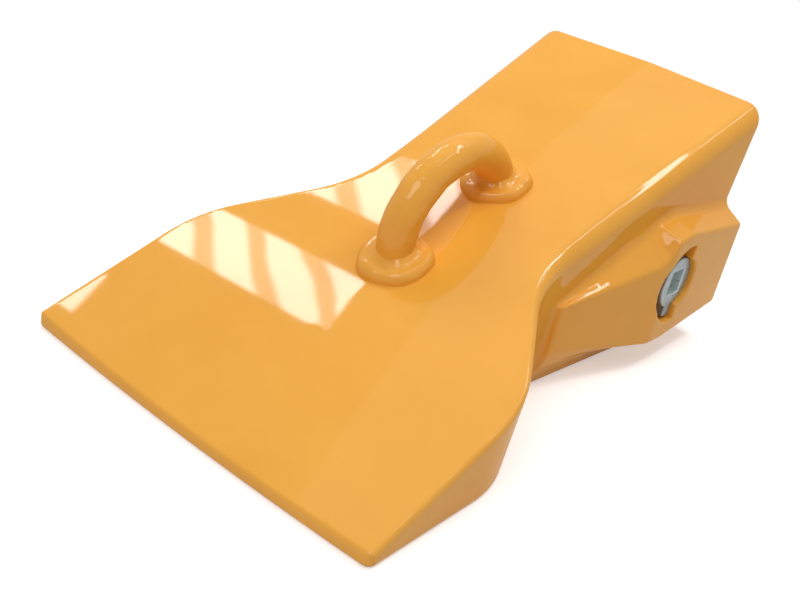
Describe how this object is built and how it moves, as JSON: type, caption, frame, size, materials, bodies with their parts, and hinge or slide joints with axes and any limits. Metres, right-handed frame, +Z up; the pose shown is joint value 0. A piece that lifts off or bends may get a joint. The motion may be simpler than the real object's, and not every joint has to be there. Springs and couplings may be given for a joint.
{
  "type": "bucket tooth tip",
  "caption": "Wide wedge-shaped tooth tip for a digging bucket, with a nose socket, a turning lock in an ear on each flank and a lifting eye on top.",
  "frame": {"origin": "on the flat underside, at the centre of the bounding box seen from above", "axes": "+Y along the tooth from the cutting edge back to the socket mouth, +X across it to the right when the cutting edge faces the viewer's back, +Z up from the underside"},
  "size_m": [0.281, 0.447, 0.19],
  "materials": {
    "casting_paint": "glossy yellow enamel over cast steel",
    "lock_steel": "bright zinc plate on forged steel",
    "sleeve_polymer": "matt moulded polymer"
  },
  "bodies": {
    "tip": {"tip_body": "casting_paint", "lifting_eye": "casting_paint", "eye_weld_front": "casting_paint", "eye_weld_rear": "casting_paint", "lock_sleeve_right": "sleeve_polymer", "lock_sleeve_left": "sleeve_polymer"},
    "lock_right": {"lock_right": "lock_steel"},
    "lock_left": {"lock_left": "lock_steel"}
  },
  "joints": [
    {"name": "lock_right_turn", "type": "hinge", "parent": "tip", "child": "lock_right", "pos_m": [0.098, 0.1411, 0.065], "axis": [-1, 0, 0], "range_deg": [0, 180]},
    {"name": "lock_left_turn", "type": "hinge", "parent": "tip", "child": "lock_left", "pos_m": [-0.098, 0.1411, 0.065], "axis": [-1, 0, 0], "range_deg": [0, 180]}
  ]
}
